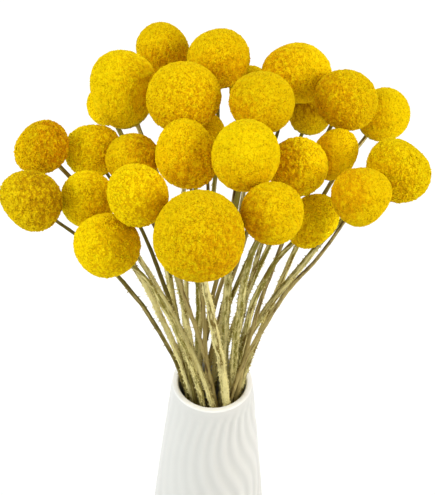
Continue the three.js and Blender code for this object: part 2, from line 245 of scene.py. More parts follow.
class ShapeTree(NodeNet):
    """A Geometry Nodes tree with named inputs."""

    def __init__(self, name: str, shape: str, **labels: str) -> None:
        """Makes a tree with its sockets.

        Args:
            name: The tree's name.
            shape: The name of its first input, the geometry.
            labels: The names of its other inputs, with commas between them, by their kind.
        """
        super().__init__(bpy.data.node_groups.new(name, "GeometryNodeTree"))
        self.keys: dict[str, str] = {}
        sockets = self.tree.interface
        for kind, row in {"Geometry": shape, **labels}.items():
            for label in row.split(", "):
                item = sockets.new_socket(label, in_out="INPUT", socket_type=f"NodeSocket{kind}")
                self.keys[label] = item.identifier
        sockets.new_socket("Shape", in_out="OUTPUT", socket_type="NodeSocketGeometry")
        self.entry = self.tree.nodes.new("NodeGroupInput")

    def given(self, label: str) -> Signal:
        """The signal of a named input."""
        return Signal(self, self.entry.outputs[label])

    def step(self, kind: str, *sockets: Any, **settings: Any) -> Signal:
        """Adds a node whose type starts with GeometryNode, with the same arguments as node."""
        return self.node(f"GeometryNode{kind}", *sockets, **settings)

    def place(self) -> Signal:
        """Where each point is."""
        return self.step("InputPosition")

    def shift(self, shape: Signal, offset: Signal) -> Signal:
        """Moves each point of a shape by an offset."""
        return self.step("SetPosition", {"Geometry": shape, "Offset": offset})

    def attribute(self, name: str, kind: str = "FLOAT") -> Signal:
        """Reads a named attribute."""
        return self.step("InputNamedAttribute", {"Name": name}, data_type=kind)

    def store(
        self, shape: Signal, name: str, value: Any, kind: str = "FLOAT", domain: str = "POINT"
    ) -> Signal:
        """Keeps a value on a shape as a named attribute.

        Args:
            shape: The geometry.
            name: The attribute's name.
            value: What it holds.
            kind: Its data type.
            domain: What it is kept on.

        Returns:
            The geometry with the attribute.
        """
        values = {"Geometry": shape, "Name": name, "Value": value}
        return self.step("StoreNamedAttribute", values, data_type=kind, domain=domain)

    def random(self, low: Any, high: Any, salt: int, kind: str = "FLOAT") -> Signal:
        """A random value for each point, from the tree's own seed and a salt.

        Args:
            low: The least value.
            high: The greatest value.
            salt: What tells this random value from the tree's others.
            kind: Its data type.

        Returns:
            The random value.
        """
        values = {"Min": low, "Max": high, "Seed": self.given("Seed") + salt}
        return self.node("FunctionNodeRandomValue", values, "Value", data_type=kind)

    def close(self, shape: Signal) -> None:
        """Realizes the shape, smooths its shading, gives it its material and ends the tree."""
        real = self.step("RealizeInstances", {"Geometry": shape})
        smooth = self.step("SetShadeSmooth", {"Geometry": real})
        values = {"Geometry": smooth, "Material": self.given("Material")}
        dressed = self.step("SetMaterial", values)
        last = self.tree.nodes.new("NodeGroupOutput")
        self.feed(last.inputs[0], dressed)

    def grow(self, name: str, base: bpy.types.Mesh, sizes: Mapping[str, Any]) -> bpy.types.Object:
        """Runs the tree on a mesh.

        Args:
            name: The new piece's name.
            base: The mesh that the tree starts from. It is used up.
            sizes: A value for each input but the first.

        Returns:
            A plain mesh object at the origin.
        """
        holder = add_object(f"{name}_base", base)
        modifier = holder.modifiers.new(name, "NODES")
        modifier.node_group = self.tree
        for label, value in sizes.items():
            modifier[self.keys[label]] = value
        graph = bpy.context.evaluated_depsgraph_get()
        shape = bpy.data.meshes.new_from_object(
            holder.evaluated_get(graph), preserve_all_data_layers=True, depsgraph=graph
        )
        holder.modifiers.remove(modifier)
        bpy.data.objects.remove(holder)
        bpy.data.meshes.remove(base)
        shape.name = name
        return add_object(name, shape)


# Finishes.


class SurfaceNet(NodeNet):
    """A material's tree."""

    def place(self) -> Signal:
        """Object coordinates, in metres."""
        return self.node("ShaderNodeTexCoord", output="Object")

    def read(self, name: str, output: str = "Fac") -> Signal:
        """An attribute of the piece."""
        return self.node("ShaderNodeAttribute", output=output, attribute_name=name)

    def blend(self, share: Any, first: Any, second: Any) -> Signal:
        """Mixes two colours.

        Args:
            share: How much of the second there is.
            first: The first colour, or its signal.
            second: The second colour, or its signal.

        Returns:
            The mixed colour.
        """
        made = self.tree.nodes.new("ShaderNodeMix")
        made.data_type = "RGBA"
        for number, value in ((0, share), (6, first), (7, second)):
            self.feed(made.inputs[number], opaque(value) if isinstance(value, tuple) else value)
        return Signal(self, made.outputs[2])

    def relief(self, height: Signal, depth: float) -> Signal:
        """A bump of a real depth in metres."""
        return self.node("ShaderNodeBump", {"Height": height, "Distance": depth, "Strength": 1.0})


def opaque(colour: Colour) -> tuple[float, float, float, float]:
    """A colour with its alpha."""
    return (*colour, 1.0)


@dataclass(frozen=True)
class Finish:
    """A material that is written as shader expressions."""

    name: str

    def surface(self, net: SurfaceNet) -> dict[str, Any]:
        """Works out what the surface shader is fed.

        Args:
            net: The net to write in.

        Returns:
            A value or a signal for each of the shader's sockets, by name.
        """
        raise NotImplementedError

    def material(self) -> bpy.types.Material:
        """Makes the material."""
        material = bpy.data.materials.new(self.name)
        material.use_nodes = True
        net = SurfaceNet(material.node_tree)
        shader = material.node_tree.nodes["Principled BSDF"]
        for socket, value in self.surface(net).items():
            net.feed(shader.inputs[socket], value)
        return material


@dataclass(frozen=True)
class FloretFinish(Finish):
    """Dry florets: bright open tips over deeper, warmer throats. The throats and the form between the
    florets are darkened partly as painted shade, a head's riper side is darker as painted shade, and its
    other side lighter as painted light.
    """

    tip: Colour
    body: Colour
    # The throats' own colour, darkened further as painted shade; it also colours the form between the
    # florets, where shade falls.
    shaded_throat: Colour
    # The colour of the riper side, dark enough to be partly painted shade.
    blush: Colour
    under: Colour = (0.30, 0.25, 0.03)
    lightest: float = 1.08
    blotch_size: float = 7 * MM
    clump_size: float = 1.7 * MM
    grain_size: float = 0.55 * MM
    grain_depth: float = 0.18 * MM
    roughness: float = 0.9
    sheen: float = 0.16

    def surface(self, net: SurfaceNet) -> dict[str, Any]:
        """Works out what the surface shader is fed."""
        place = net.place()
        shade = net.read("shade") - 0.5
        blotch = net.noise(place, self.blotch_size).between(0.38, 0.66)
        drawn = net.vector("MULTIPLY", place, (1.0, 0.75, 0.5))
        clump = net.noise(drawn, self.clump_size, 1) - 0.5
        grain = net.noise(drawn, self.grain_size, 1)
        # The riper side is warmer, darker and more speckled: partly ripeness, partly painted shade on
        # the side that faces other heads.
        blush = net.read("blush")
        rough = net.read("rough") * (blush + 0.6)
        warm_and_shaded = blush * 0.8 + blotch * 0.25 + shade * 0.5
        flesh = net.blend(warm_and_shaded.between(0.12, 1.0), self.body, self.blush)
        bright = net.blend(warm_and_shaded.between(0.4, 1.3), self.tip, self.body)
        specks_and_painted_light = (shade * 0.4 + clump * 1.3) * rough + (grain - 0.5) * (blush * 0.6 + 0.5)
        # Painted light: a head is made lighter on the side away from its riper side, where its
        # neighbours shade it.
        glow = net.read("glow")
        # Low tip values, at floret bases and on the form between florets, pick the throat colour: partly
        # painted shade in the recesses.
        specks_and_painted_light = net.read("tip") * 0.5 + specks_and_painted_light + glow * 0.5 + 0.3
        colour = net.blend(specks_and_painted_light.between(0.0, 0.55), self.shaded_throat, flesh)
        colour = net.blend(specks_and_painted_light.between(0.5, 1.05), colour, bright)
        low = (0 - net.read("crown")).between(0.72, 1.0)
        colour = net.blend(low * 0.8, colour, self.under)
        # Each head's lightness with its painted light, held under a ceiling; on shaded heads this is
        # partly painted light.
        light = (net.read("light") + glow).least(self.lightest)
        values = {0: colour, "Scale": light}
        colour = net.node("ShaderNodeVectorMath", values, operation="SCALE")
        return {
            "Base Color": colour,
            "Roughness": self.roughness,
            "Specular IOR Level": 0.02,
            "Sheen Weight": self.sheen,
            "Sheen Roughness": 0.4,
            "Sheen Tint": opaque((1.0, 0.85, 0.01)),
            "Normal": net.relief(grain, self.grain_depth),
        }


@dataclass(frozen=True)
class StalkFinish(Finish):
    """A dry woolly stalk: brown under the head, paler and felted further down, and a little paler again
    just inside the vase's mouth as painted light against the shade there.
    """

    bare: Colour
    moss: Colour
    wool: Colour
    scar: Colour
    downy: float = 1.0
    fibre_size: float = 0.8 * MM
    patch_size: float = 2.6 * MM
    side_size: float = 2.4 * MM
    scar_size: float = 1.3 * MM
    relief_depth: float = 0.35 * MM
    roughness: float = 0.88

    def surface(self, net: SurfaceNet) -> dict[str, Any]:
        """Works out what the surface shader is fed."""
        along = net.read("along")
        age = net.read("age") - 0.5
        lie = net.read("lie", "Vector")
        fibre = net.noise(net.vector("MULTIPLY", lie, (1.0, 1.0, 0.12)), self.fibre_size, 3)
        patch = net.noise(net.vector("MULTIPLY", lie, (1.0, 1.0, 0.3)), self.patch_size, 3)
        side = net.noise(net.vector("MULTIPLY", lie, (1.0, 1.0, 0.04)), self.side_size, 1)
        # Paler and more felted down the stalk; the small rise between 0.35 and 0.5 of the way down is
        # painted light against the shade in the vase's mouth.
        felt_and_painted_light = along.between(0.02, 0.3) * 0.6 + along.between(0.35, 0.5) * 0.15
        felt_and_painted_light = felt_and_painted_light + patch - 0.5 + (fibre - 0.5) * 2.2 + (side - 0.5) * 2.6 - age * 0.7
        skin = net.blend((patch + age * 0.5).between(0.35, 0.65), self.bare, self.moss)
        colour = net.blend(felt_and_painted_light.between(0.05, 0.9), skin, self.wool)
        mark = net.noise(net.place(), self.scar_size).between(0.6, 0.72)
        colour = net.blend(mark * 0.4, colour, self.scar)
        fluff = net.read("fluff")
        colour = net.blend(fluff * 0.7, colour, tuple(min(1.0, c * 1.3) for c in self.wool))
        return {
            "Base Color": colour,
            "Roughness": self.roughness,
            "Specular IOR Level": 0.03,
            "Sheen Weight": 0.08,
            "Sheen Roughness": 0.5,
            "Sheen Tint": opaque((0.9, 0.8, 0.4)),
            "Normal": net.relief(fibre + patch, self.relief_depth),
        }


@dataclass(frozen=True)
class GlazeFinish(Finish):
    """A satin white glaze, painted darker in the grooves as painted shade and paler on the lip as a
    painted highlight.
    """

    ridge: Colour = (0.72, 0.715, 0.685)
    # Painted shade: the glaze is darker in the grooves between the ribs.
    shaded_groove: Colour = (0.63, 0.63, 0.605)
    # Painted highlight: the lip is paler than the wall, as where light falls on its top.
    lip: Colour = (0.93, 0.92, 0.90)
    roughness: float = 0.34
    cloud_size: float = 22 * MM
    ripple_size: float = 4 * MM
    ripple_depth: float = 0.05 * MM

    def surface(self, net: SurfaceNet) -> dict[str, Any]:
        """Works out what the surface shader is fed."""
        place = net.place()
        cloud = net.noise(place, self.cloud_size)
        # Darker in the grooves as painted shade, with random clouds.
        height = net.read("ridge") + (cloud - 0.5) * 0.3
        colour = net.blend(height.between(0.0, 1.0), self.shaded_groove, self.ridge)
        # Painted highlight on the lip.
        colour = net.blend(net.read("lip"), colour, self.lip)
        return {
            "Base Color": colour,
            "Roughness": self.roughness + (cloud - 0.5) * 0.16,
            "Coat Weight": 0.25,
            "Coat Roughness": 0.22,
            "Normal": net.relief(net.noise(place, self.ripple_size), self.ripple_depth),
        }


@dataclass(frozen=True)
class FloorFinish(Finish):
    """A plain pale floor."""

    colour: Colour = (0.97, 0.97, 0.97)

    def surface(self, net: SurfaceNet) -> dict[str, Any]:
        """Works out what the surface shader is fed."""
        return {
            "Base Color": opaque(self.colour),
            "Roughness": 0.9,
            "Specular IOR Level": 0.0,
        }


class Tone(Enum):
    """The ripeness of a flower head, as its slot and finish."""

    LEMON = FloretFinish(
        "head_lemon", (0.96, 0.75, 0.004), (0.90, 0.63, 0.001), (0.64, 0.37, 0.001), (0.82, 0.46, 0.001)
    )
    YELLOW = FloretFinish(
        "head_yellow", (0.95, 0.71, 0.004), (0.87, 0.57, 0.001), (0.60, 0.30, 0.001), (0.78, 0.38, 0.001)
    )
    ORANGE = FloretFinish(
        "head_orange", (0.96, 0.70, 0.004), (0.86, 0.51, 0.001), (0.54, 0.24, 0.001), (0.77, 0.32, 0.001)
    )
    OLIVE = FloretFinish(
        "head_olive", (0.92, 0.69, 0.006), (0.82, 0.55, 0.002), (0.48, 0.25, 0.002), (0.62, 0.33, 0.002)
    )


class Stalk(Enum):
    """The two sorts of stalk, as their slots and finishes."""

    OLIVE = StalkFinish(
        "stalk_olive", (0.17, 0.11, 0.017), (0.22, 0.19, 0.03), (0.77, 0.68, 0.30), (0.22, 0.14, 0.03)
    )
    BROWN = StalkFinish(
        "stalk_brown", (0.09, 0.052, 0.016), (0.15, 0.12, 0.025), (0.42, 0.33, 0.12),
        (0.14, 0.08, 0.02), downy=0.12,
    )


# What the frame says about its pieces.


class Solid:
    """A CAD node's corners, in metres."""

    def __init__(self, frame: Mapping[str, Any], node: str) -> None:
        """Reads the node's loose triangles.

        Args:
            frame: The loaded frame.
            node: The node's name.
        """
        mesh = frame["nodes"][node].data
        corners = np.empty(len(mesh.vertices) * 3)
        mesh.vertices.foreach_get("co", corners)
        loops = np.empty(len(mesh.loops), dtype=int)
        mesh.loops.foreach_get("vertex_index", loops)
        used = corners.reshape(-1, 3)[loops]
        _, first, self.uses = np.unique(
            np.round(used / WELD), axis=0, return_index=True, return_counts=True
        )
        self.points = used[first]


@dataclass
class GlobeForm:
    """A flower head's smooth form: its radius in every direction from its centre."""

    solid: Solid
    floret_rise: float = 0.4 * MM
    groove_depth: float = 1.3 * MM
    groove_uses: int = 3
    degree: int = 4
    smoothing: float = 0.02
    centre: np.ndarray = field(init=False)
    weights: np.ndarray = field(init=False)

    def __post_init__(self) -> None:
        """Fits the form under the relief of the solid's florets."""
        points = self.solid.points
        self.centre = (points.min(0) + points.max(0)) / 2
        away = points - self.centre
        reach = np.linalg.norm(away, axis=1)
        grooves = self.solid.uses == self.groove_uses
        form = reach + np.where(grooves, self.groove_depth, -self.floret_rise)
        terms = self.terms(away / reach[:, None])
        calm = np.eye(terms.shape[1]) * self.smoothing * len(points) / terms.shape[1]
        calm[0, 0] = 0
        self.weights = np.linalg.solve(terms.T @ terms + calm, terms.T @ form)

    def terms(self, away: np.ndarray) -> np.ndarray:
        """The fit's terms, products of powers of a direction's three parts.

        Args:
            away: Directions from the centre, one a row.

        Returns:
            A row of terms for each direction.
        """
        x, y, z = away.T
        powers = [
            (a, b, c)
            for c in (0, 1)
            for a in range(self.degree + 1)
            for b in range(self.degree + 1 - a - c)
        ]
        return np.stack([x**a * y**b * z**c for a, b, c in powers], axis=1)

    def radius(self, away: np.ndarray) -> np.ndarray:
        """The form's radius in each direction."""
        return self.terms(away) @ self.weights


# The flower heads.


class Grain(Enum):
    """How a head's florets stand: spacing, width, tilt, share of open cups, clump height."""

    FINE = (0.76, 0.54, 0.2, 0.2, 0.2)
    USUAL = (0.80, 0.57, 0.35, 0.3, 0.4)
    OPEN = (0.88, 0.61, 0.5, 0.4, 0.6)


@dataclass(frozen=True)
class HeadLook:
    """One head's own character.

    Attributes:
        tone: Its ripeness.
        blush: The side on which it is riper and warmer, and darker as painted shade where it faces other
            heads. Its length is how much.
        grain: How its florets stand.
        pits: The side on which florets have dropped. Its length is how wide the patch is.
        pit_share: How many have dropped there.
        rough: How much its florets differ from each other. One is usual.
        light: How light it is. One is usual. On heads that their neighbours shade, it is partly painted
            light.
        glow: Painted light: how much lighter it is made on the side away from its riper side, to lift
            the shade that its neighbours cast.
    """

    tone: Tone
    blush: Direction = (0.3, 0.1, -0.3)
    grain: Grain = Grain.USUAL
    pits: Direction = (0.0, 0.0, -1.0)
    pit_share: float = 0.1
    rough: float = 1.0
    light: float = 1.0
    glow: float = 0.0


def seen(right: float, up: float, near: float) -> Direction:
    """A direction as the front view shows it, from 45 degrees above the horizon.

    Args:
        right: Its part to the viewer's right.
        up: Its part up the picture.
        near: Its part towards the viewer.

    Returns:
        The direction in the model's frame.
    """
    half = math.sqrt(0.5)
    return (right, (up - near) * half, (up + near) * half)


@dataclass
class Florets:
    """The tree that covers a head's form with florets, in a golden spiral round its stalk."""

    segments: int = 5
    cup_floor: float = 0.15
    cup_rim: float = 0.4
    height_share: float = 1.15
    bud_radius: float = 1.1
    bud_height: float = 0.6
    stray: float = 1.25
    beam_length: float = 0.2
    clump_size: float = 2.6 * MM
    hole_size: float = 1.5 * MM
    tree: ShapeTree = field(init=False)

    def __post_init__(self) -> None:
        """Builds the tree."""
        self.tree = ShapeTree(
            "head_florets", "Form", Int="Count, Seed", Material="Material",
            Vector="Centre, Turn, Blush, Pits",
            Float="Floret Width, Tilt, Cup Share, Clump Height, Rough, Light, Glow, Pit Share",
        )
        self.tree.close(self._cover())

    def _spiral(self) -> Signal:
        """Points on the unit globe, numbered from the crown down to the stalk."""
        tree = self.tree
        number = tree.step("InputIndex")
        height = 1 - (number + 0.5) * 2 / tree.given("Count")
        reach = (1 - height * height).root()
        angle = number * GOLDEN_ANGLE
        place = tree.combine(reach * angle.cosine(), reach * angle.sine(), height)
        turn = tree.node("FunctionNodeEulerToRotation", {"Euler": tree.given("Turn")})
        turned = tree.node("FunctionNodeRotateVector", {"Vector": place, "Rotation": turn})
        spread = self.stray / (tree.given("Count") + 0.0).root()
        stray = tree.random((-1.0, -1.0, -1.0), (1.0, 1.0, 1.0), 1, "FLOAT_VECTOR")
        place = tree.vector("MULTIPLY_ADD", stray, tree.triple(spread), turned)
        points = tree.step("Points", {"Count": tree.given("Count"), "Position": place})
        return tree.store(points, "crown", height)

    def _land(self, points: Signal) -> Signal:
        """Moves the points on to the form, in gentle clumps, and drops the missing florets."""
        tree = self.tree
        away = tree.place()
        # The riper side, which also carries painted shade.
        blush = tree.vector("DOT_PRODUCT", away, tree.given("Blush"), output="Value")
        points = tree.store(points, "blush", blush.between(-0.25, 1.0))
        # Painted light on the side away from the riper side, scaled by the head's own amount.
        glow = (0 - blush).between(-0.2, 0.9) * tree.given("Glow")
        points = tree.store(points, "glow", glow)
        patch = tree.vector("DOT_PRODUCT", away, tree.given("Pits"), output="Value")
        points = tree.store(points, "patch", patch.between(0.2, 0.75))
        beam = {
            "Target Geometry": tree.given("Form"),
            "Source Position": tree.given("Centre"),
            "Ray Direction": away,
            "Ray Length": self.beam_length,
        }
        landed = tree.step("Raycast", beam, "Hit Position")
        normal = landed.beside("Hit Normal")
        points = tree.store(points, "outward", normal, "FLOAT_VECTOR")
        points = tree.step("SetPosition", {"Geometry": points, "Position": landed})
        place = tree.place()
        clump = (tree.noise(place, self.clump_size, 1) - 0.5) * tree.given("Clump Height")
        lift = tree.vector("MULTIPLY", tree.attribute("outward", "FLOAT_VECTOR"), tree.triple(clump))
        points = tree.shift(points, lift)
        holes = tree.noise(place, self.hole_size, 0).between(0.42, 0.62)
        chance = tree.given("Pit Share") * (tree.attribute("patch") * 1.5 + 0.08)
        dropped = chance > 1 - holes * tree.random(0.6, 1.0, 2)
        values = {"Geometry": points, "Selection": dropped}
        return tree.step("DeleteGeometry", values, domain="POINT")

    def _buds(self) -> list[Signal]:
        """The two floret shapes: a closed bud, and an open cup with a lowered middle."""
        tree = self.tree
        ball = {"Segments": self.segments, "Rings": 2, "Radius": 1.0}
        cone = {"Vertices": self.segments, "Radius Bottom": self.bud_radius, "Depth": self.bud_height}
        height = tree.node("ShaderNodeSeparateXYZ", {0: tree.place()}, "Z")
        bud = tree.step("MeshCone", cone, fill_type="NONE")
        # The tip value darkens each floret towards its base, partly as painted shade.
        bud = tree.store(bud, "tip", height + 0.4)
        cup = tree.step("MeshUVSphere", ball)
        cup = tree.store(cup, "tip", 0.9 - abs(height) * 0.6)
        rise = (1 - abs(height)) * self.cup_rim - (height > 0.5) * (1 - self.cup_floor)
        cup = tree.shift(cup, tree.combine(z=rise))
        return [tree.step("GeometryToInstance", {0: part}) for part in (bud, cup)]

    def _cover(self) -> Signal:
        """Stands a floret on every point, and joins them to the form beneath, which its finish paints
        dark as shade between the florets.
        """
        tree = self.tree
        points = self._land(self._spiral())
        lean = tree.random((-1.0, -1.0, -1.0), (1.0, 1.0, 1.0), 3, "FLOAT_VECTOR")
        aim = tree.vector(
            "MULTIPLY_ADD", lean, tree.triple(tree.given("Tilt")),
            tree.attribute("outward", "FLOAT_VECTOR"),
        )
        stand = tree.node("FunctionNodeAlignRotationToVector", {"Vector": aim}, axis="Z")
        values = {"Axis": (0.0, 0.0, 1.0), "Angle": tree.random(0.0, math.tau, 4)}
        spin = tree.node("FunctionNodeAxisAngleToRotation", values)
        values = {"Rotation": stand, "Rotate By": spin}
        stand = tree.node("FunctionNodeRotateRotation", values, rotation_space="LOCAL")
        width = tree.given("Floret Width") * tree.random(0.72, 1.28, 5)
        tall = width * tree.random(0.8, 1.3, 6) * self.height_share
        buds = tree.step("JoinGeometry", {0: self._buds()})
        values = {
            "Points": points,
            "Instance": buds,
            "Pick Instance": True,
            "Instance Index": tree.random(0.0, 1.0, 7) > tree.given("Cup Share"),
            "Rotation": stand,
            "Scale": tree.combine(width, width, tall),
        }
        florets = tree.step("InstanceOnPoints", values)
        florets = tree.store(florets, "shade", tree.random(0.0, 1.0, 8), domain="INSTANCE")
        cover = tree.step("JoinGeometry", {0: [florets, tree.given("Form")]})
        cover = tree.store(cover, "rough", tree.given("Rough"))
        # Each head's lightness, partly painted light on heads that their neighbours shade.
        return tree.store(cover, "light", tree.given("Light"))


@dataclass
class FlowerHead:
    """A globe of florets that stands for one CAD head.

    Attributes:
        number: The bloom's number.
        look: Its own character.
        globe_levels: How finely the form under its florets is cut.
    """

    number: int
    look: HeadLook
    globe_levels: int = 3

    @property
    def node(self) -> str:
        """The CAD node that the head stands for."""
        return f"head_{self.number:02d}"

    def build(
        self, frame: Mapping[str, Any], florets: Florets, tip: np.ndarray, material: bpy.types.Material
    ) -> bpy.types.Object:
        """Grows the head over its solid.

        Args:
            frame: The loaded frame.
            florets: The tree that covers it.
            tip: The end of its stalk.
            material: Its finish.

        Returns:
            The finished head.
        """
        form = GlobeForm(Solid(frame, self.node))
        mesh, area = self._globe(form)
        spacing, width, tilt, cups, clump = self.look.grain.value
        axis = Vector(form.centre - tip).normalized()
        turn = Vector((0, 0, 1)).rotation_difference(axis).to_euler()
        sizes = {
            "Centre": tuple(form.centre),
            "Turn": tuple(turn),
            "Count": round(area / (spacing * MM) ** 2),
            "Floret Width": width * MM,
            "Tilt": tilt,
            "Cup Share": cups,
            "Clump Height": clump * MM,
            **sizes_of(self.look, "Blush, Pits, Pit Share, Rough, Light, Glow"),
            "Seed": self.number,
            "Material": material,
        }
        return florets.tree.grow(f"florets_{self.number:02d}", mesh, sizes)

    def _globe(self, form: GlobeForm) -> tuple[bpy.types.Mesh, float]:
        """The closed form under the florets.

        Args:
            form: The head's form.

        Returns:
            Its mesh and its area.
        """
        shell = bmesh.new()
        bmesh.ops.create_icosphere(shell, subdivisions=self.globe_levels, radius=1.0)
        away = np.array([tuple(point.co.normalized()) for point in shell.verts])
        places = form.centre + away * form.radius(away)[:, None]
        for point, place in zip(shell.verts, places, strict=True):
            point.co = place
        area = sum(face.calc_area() for face in shell.faces)
        mesh = bpy.data.meshes.new(self.node)
        shell.to_mesh(mesh)
        shell.free()
        return mesh, area


# The stalks.


@dataclass
class Wool:
    """The tree that gives a stalk its felted skin, from a line with a radius at each point."""

    stagger: float = 0.5
    bend_length: float = 24 * MM
    bend_reach: float = 1.7 * MM
    bend_steps: int = 16
    lump_size: float = 1.6 * MM
    tuft_size: float = 3.5 * MM
    flake_radius: float = 0.3
    tree: ShapeTree = field(init=False)

    def __post_init__(self) -> None:
        """Builds the tree."""
        self.tree = ShapeTree(
            "stalk_wool", "Line", Int="Sides, Rings, Seed", Material="Material",
            Float="Lump Height, Flake Density, Flake Length, Bare Below, Age",
        )
        self.tree.close(self._skin())

    def _skin(self) -> Signal:
        """The stalk's tube with its lumps, and the flakes on it."""
        tree = self.tree
        curve = tree.step("MeshToCurve", {"Mesh": tree.given("Line")})
        curve = tree.step("CurveSplineType", {0: curve}, spline_type="CATMULL_ROM")
        curve = tree.step("SetSplineResolution", {"Geometry": curve, "Resolution": self.bend_steps})
        values = {"Curve": curve, "Count": tree.given("Rings")}
        curve = tree.step("ResampleCurve", values, mode="COUNT")
        curve = tree.store(curve, "along", tree.step("SplineParameter"))
        curve = tree.store(curve, "run", tree.step("SplineParameter", output="Length"))
        stray = tree.noise(tree.place(), self.bend_length, 1.0, "Color")
        reach = tree.attribute("along").between(0.02, 0.15) * self.bend_reach
        stray = tree.vector("SUBTRACT", stray, (0.5, 0.5, 0.5))
        curve = tree.shift(curve, tree.vector("MULTIPLY", stray, tree.triple(reach)))
        radius = tree.attribute("stalk_radius")
        curve = tree.step("SetCurveRadius", {"Curve": curve, "Radius": radius})
        ring = tree.step("CurvePrimitiveCircle", {"Resolution": tree.given("Sides"), "Radius": 1.0})
        ring = tree.store(ring, "around", tree.step("SplineParameter"))
        values = {"Curve": curve, "Profile Curve": ring, "Scale": radius, "Fill Caps": True}
        tube = tree.step("CurveToMesh", values)
        angle = tree.attribute("around") * math.tau
        run = tree.attribute("run") + tree.given("Seed") * self.stagger
        lie = tree.combine(angle.cosine() * radius, angle.sine() * radius, run)
        tube = tree.store(tube, "lie", lie, "FLOAT_VECTOR")
        bumps = tree.noise(tree.vector("MULTIPLY", lie, (1.0, 1.0, 0.3)), self.lump_size) - 0.5
        bumps = bumps * tree.given("Lump Height") * (tree.attribute("along") * 2 + 0.4)
        offset = tree.vector("MULTIPLY", tree.step("InputNormal"), tree.triple(bumps))
        tube = tree.shift(tube, offset)
        skin = tree.step("JoinGeometry", {0: [tube, self._flakes(tube)]})
        return tree.store(skin, "age", tree.given("Age"))

    def _flakes(self, tube: Signal) -> Signal:
        """Tufts of wool and dry scales that stand off the tube where it shows."""
        tree = self.tree
        height = tree.node("ShaderNodeSeparateXYZ", {0: tree.place()}, "Z")
        shown = height > tree.given("Bare Below")
        tufts = tree.noise(tree.place(), self.tuft_size).between(0.45, 0.62) * 1.6 + 0.15
        density = tree.given("Flake Density") * shown * tufts
        density = density * tree.attribute("along").between(0.0, 0.35)
        values = {"Mesh": tube, "Density": density, "Seed": tree.given("Seed")}
        points = tree.step("DistributePointsOnFaces", values)
        lean = tree.random((-1.0, -1.0, -1.5), (1.0, 1.0, 1.5), 3, "FLOAT_VECTOR")
        aim = tree.vector("ADD", points.beside("Normal"), lean)
        stand = tree.node("FunctionNodeAlignRotationToVector", {"Vector": aim}, axis="Z")
        cone = {"Vertices": 3, "Radius Bottom": self.flake_radius, "Depth": 1.0}
        flake = tree.step("MeshCone", cone, fill_type="NONE")
        length = tree.given("Flake Length") * tree.random(0.5, 1.5, 5)
        values = {"Points": points, "Instance": flake, "Rotation": stand, "Scale": length}
        flakes = tree.step("InstanceOnPoints", values)
        return tree.store(flakes, "fluff", tree.random(0.3, 1.0, 6), domain="INSTANCE")


@dataclass
class FlowerStalk:
    """A woolly stalk that stands for one CAD stem.

    Attributes:
        number: The bloom's number.
        kind: Its sort.
        ring_gap: More than a ring of the CAD stem is high, and less than its rings are apart.
        into_head: How far its end goes on into the head.
        calyx: How much wider it is there, under the florets.
        calyx_at: How far that width starts below the head's skin.
        round_share: The round stalk's radius, as a share of its solid's corners' radius.
        flake_density: How many flakes a woolly stalk has on a square metre.
    """

    number: int
    kind: Stalk
    ring_gap: float = 6 * MM
    into_head: float = 2.2 * MM
    calyx: float = 1.5
    calyx_at: float = 1.2 * MM
    round_share: float = 0.92
    sides: int = 10
    rings: int = 130
    lump_height: float = 0.6 * MM
    flake_density: float = 600000.0
    flake_length: float = 1.0 * MM
    line: np.ndarray = field(init=False)
    radii: np.ndarray = field(init=False)

    @property
    def node(self) -> str:
        """The CAD node that the stalk stands for."""
        return f"stem_{self.number:02d}"

    def measure(self, frame: Mapping[str, Any]) -> None:
        """Reads the stalk's line and radii from its solid's rings, head to foot.

        Args:
            frame: The loaded frame.
        """
        points = Solid(frame, self.node).points
        points = points[np.argsort(-points[:, 2])]
        breaks = np.flatnonzero(-np.diff(points[:, 2]) > self.ring_gap) + 1
        rings = np.split(points, breaks)
        self.line = np.array([ring.mean(0) for ring in rings])
        self.radii = np.array(
            [np.linalg.norm(ring - ring.mean(0), axis=1).max() * self.round_share for ring in rings]
        )

    def build(self, wool: Wool, bare_below: float, material: bpy.types.Material) -> bpy.types.Object:
        """Grows the stalk.

        Args:
            wool: The tree of its skin.
            bare_below: The height under which it needs no flakes, as nobody sees them.
            material: Its finish.

        Returns:
            The finished stalk.
        """
        climb = self.line[0] - self.line[1]
        climb /= np.linalg.norm(climb)
        neck = self.line[0] - climb * self.calyx_at * 2
        flare = self.line[0] + climb * self.calyx_at
        end = self.line[0] + climb * self.into_head
        line = np.vstack([end, flare, neck, self.line[1:]])
        top = self.radii[0]
        radii = np.concatenate([[top * self.calyx], [top * self.calyx], [top], self.radii[1:]])
        mesh = bpy.data.meshes.new(self.node)
        mesh.from_pydata(line.tolist(), [(i, i + 1) for i in range(len(line) - 1)], [])
        mesh.attributes.new("stalk_radius", "FLOAT", "POINT").data.foreach_set("value", radii)
        sizes = {
            **sizes_of(self, "Sides, Rings, Lump Height, Flake Length"),
            "Flake Density": self.flake_density * self.kind.value.downy,
            "Bare Below": bare_below,
            "Age": (self.number * GOLDEN_SHARE + 0.5) % 1.0,
            "Seed": self.number,
            "Material": material,
        }
        return wool.tree.grow(f"stalk_{self.number:02d}", mesh, sizes)


# The vase.

RIB_SIZES = "Ribs, Relief, Rib Start, Rib End, Rib Fade, Wave Length, Wave Reach"


